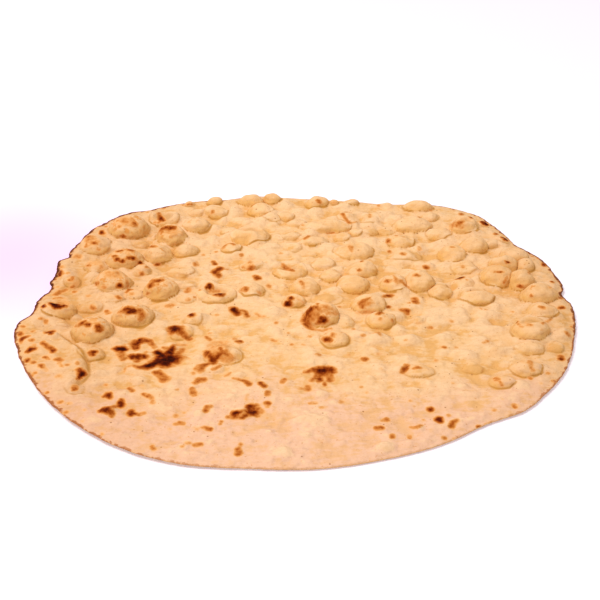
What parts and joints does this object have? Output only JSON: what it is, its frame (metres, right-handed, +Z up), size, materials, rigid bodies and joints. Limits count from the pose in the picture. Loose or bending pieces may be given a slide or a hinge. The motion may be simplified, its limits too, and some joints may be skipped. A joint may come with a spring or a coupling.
{
  "type": "taftoon bread",
  "caption": "Large round flatbread lying flat: a thin sheet of dough with a thin, slightly curled rim and oven blisters over most of its top.",
  "frame": {"origin": "centre of the bread's outline, on the surface it lies on", "axes": "+Z up out of the blistered face, +X along the wider way, +Y towards the more blistered edge"},
  "size_m": [0.4634, 0.3999, 0.0214],
  "materials": {
    "crust": null
  },
  "bodies": {
    "root": {"bread": "crust"}
  },
  "joints": []
}
